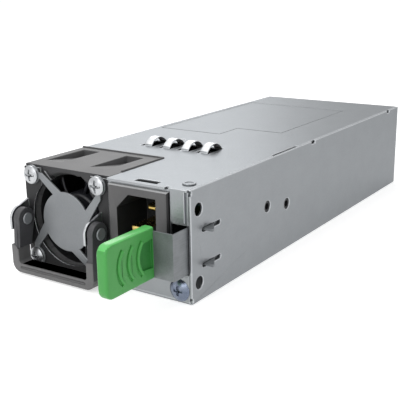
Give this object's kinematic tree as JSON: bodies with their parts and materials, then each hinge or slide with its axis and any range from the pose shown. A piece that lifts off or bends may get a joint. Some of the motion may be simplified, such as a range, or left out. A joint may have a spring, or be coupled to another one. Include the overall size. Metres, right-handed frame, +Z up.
{
  "type": "hot swap server power supply",
  "caption": "Slim metal-cased plug-in power supply with a front fan, mains inlet, hinged pull handle, green release latch and a rear card-edge connector.",
  "frame": {"origin": "centre of the housing's underside", "axes": "+X to the right seen from the front (the latch side), +Y along the body from the front with fan and inlet to the rear card edge, +Z up"},
  "size_m": [0.0766, 0.225, 0.042],
  "materials": {
    "galvanised_steel": "bright zinc-coated sheet",
    "guard_steel": "stamped and plated sheet",
    "fan_plastic": "moulded, dark grey",
    "impeller_plastic": "moulded, black, slightly glossy",
    "shaft_steel": "ground",
    "motor_steel": "laminated",
    "handle_plastic": "moulded, dark grey, fine texture",
    "inlet_plastic": "moulded, dark grey",
    "pin_brass": "bright",
    "nickel": "nickel plated",
    "spring_steel": "bright rolled strip",
    "latch_green": "moulded, green",
    "board_laminate": "solder mask",
    "contact_gold": "gold plated",
    "standoff_brass": "turned",
    "insulating_film": "film, translucent white",
    "choke_coating": "enamelled copper winding",
    "film_case": "moulded box",
    "capacitor_sleeve": "shrink sleeve",
    "heatsink_aluminium": "extruded",
    "ferrite": "sintered, dull",
    "winding_tape": "polyester tape"
  },
  "bodies": {
    "supply": {"base_chassis": "galvanised_steel", "board_standoff_1": "standoff_brass", "board_standoff_2": "standoff_brass", "board_standoff_3": "standoff_brass", "board_standoff_4": "standoff_brass", "boost_choke": "choke_coating", "bulk_capacitor_1": "capacitor_sleeve", "bulk_capacitor_2": "capacitor_sleeve", "cover_rivet": "nickel", "edge_contacts_bottom": "contact_gold", "edge_contacts_top": "contact_gold", "fan_guard": "guard_steel", "fan_housing": "fan_plastic", "fan_motor": "motor_steel", "fan_screw_1": "nickel", "fan_screw_2": "nickel", "fan_screw_3": "nickel", "fan_screw_4": "nickel", "film_capacitor": "film_case", "filter_choke_1": "choke_coating", "filter_choke_2": "choke_coating", "front_plate": "galvanised_steel", "front_screw": "nickel", "handle_bracket": "galvanised_steel", "handle_pin_left": "nickel", "handle_pin_right": "nickel", "inlet_body": "inlet_plastic", "inlet_earth_pin": "pin_brass", "inlet_line_pin": "pin_brass", "inlet_neutral_pin": "pin_brass", "insulating_sheet": "insulating_film", "latch_anchor": "spring_steel", "latch_rivet_front": "nickel", "latch_rivet_rear": "nickel", "main_board": "board_laminate", "output_capacitor_1": "capacitor_sleeve", "output_capacitor_2": "capacitor_sleeve", "output_capacitor_3": "capacitor_sleeve", "output_capacitor_4": "capacitor_sleeve", "output_capacitor_5": "capacitor_sleeve", "primary_heatsink": "heatsink_aluminium", "rear_panel": "galvanised_steel", "rectifier_heatsink": "heatsink_aluminium", "top_cover": "galvanised_steel", "transformer_core": "ferrite", "transformer_winding": "winding_tape"},
    "fan_rotor": {"fan_impeller": "impeller_plastic", "fan_shaft": "shaft_steel"},
    "handle": {"pull_handle": "handle_plastic"},
    "latch": {"latch_arm": "spring_steel", "latch_tab": "latch_green"}
  },
  "joints": [
    {"name": "fan_spin", "type": "hinge", "parent": "supply", "child": "fan_rotor", "pos_m": [-0.01675, -0.0775, 0.02], "axis": [0, 1, 0], "continuous": true},
    {"name": "handle_swing", "type": "hinge", "parent": "supply", "child": "handle", "pos_m": [-0.01675, -0.0971, 0.02], "axis": [-1, 0, 0], "range_deg": [0, 100]},
    {"name": "latch_press", "type": "hinge", "parent": "supply", "child": "latch", "pos_m": [0.0352, -0.0475, 0.01855], "axis": [0, 0, -1], "range_deg": [0, 5.7], "stiffness_Nm_per_rad": 2}
  ]
}
